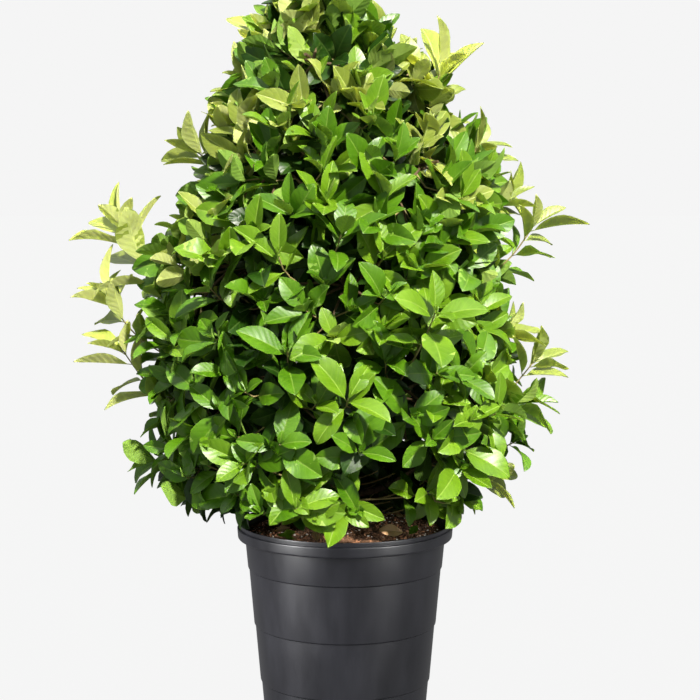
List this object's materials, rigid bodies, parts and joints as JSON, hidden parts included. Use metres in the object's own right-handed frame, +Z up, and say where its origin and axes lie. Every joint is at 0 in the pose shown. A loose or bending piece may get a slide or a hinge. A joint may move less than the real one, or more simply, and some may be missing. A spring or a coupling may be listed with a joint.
{
  "type": "potted viburnum",
  "caption": "Dense evergreen viburnum shrub, loosely clipped to a tall egg shape, standing in a stepped black plastic nursery pot filled with bark potting mix.",
  "frame": {"origin": "centre of the pot's flat underside", "axes": "+Z up along the pot's axis, -Y to the front"},
  "size_m": [0.8544, 0.7934, 1.3393],
  "materials": {
    "pot_plastic": "smooth moulded, satin",
    "potting_mix": "loose composted bark",
    "bark": "thin rough bark",
    "foliage": "glossy leaf"
  },
  "bodies": {
    "root": {"pot": "pot_plastic", "soil": "potting_mix", "trunk": "bark", "skirt_bough_1": "bark", "skirt_bough_2": "bark", "skirt_bough_3": "bark", "skirt_bough_4": "bark", "skirt_bough_5": "bark", "skirt_bough_6": "bark", "lower_bough_1": "bark", "lower_bough_2": "bark", "lower_bough_3": "bark", "lower_bough_4": "bark", "lower_bough_5": "bark", "lower_bough_6": "bark", "lower_bough_7": "bark", "middle_bough_1": "bark", "middle_bough_2": "bark", "middle_bough_3": "bark", "middle_bough_4": "bark", "middle_bough_5": "bark", "middle_bough_6": "bark", "middle_bough_7": "bark", "upper_bough_1": "bark", "upper_bough_2": "bark", "upper_bough_3": "bark", "upper_bough_4": "bark", "upper_bough_5": "bark", "high_bough_1": "bark", "high_bough_2": "bark", "high_bough_3": "bark", "skirt_foliage_1": "foliage", "skirt_foliage_2": "foliage", "skirt_foliage_3": "foliage", "skirt_foliage_4": "foliage", "skirt_foliage_5": "foliage", "skirt_foliage_6": "foliage", "lower_foliage_1": "foliage", "lower_foliage_2": "foliage", "lower_foliage_3": "foliage", "lower_foliage_4": "foliage", "lower_foliage_5": "foliage", "lower_foliage_6": "foliage", "lower_foliage_7": "foliage", "middle_foliage_1": "foliage", "middle_foliage_2": "foliage", "middle_foliage_3": "foliage", "middle_foliage_4": "foliage", "middle_foliage_5": "foliage", "middle_foliage_6": "foliage", "middle_foliage_7": "foliage", "upper_foliage_1": "foliage", "upper_foliage_2": "foliage", "upper_foliage_3": "foliage", "upper_foliage_4": "foliage", "upper_foliage_5": "foliage", "high_foliage_1": "foliage", "high_foliage_2": "foliage", "high_foliage_3": "foliage", "top_foliage": "foliage"}
  },
  "joints": []
}
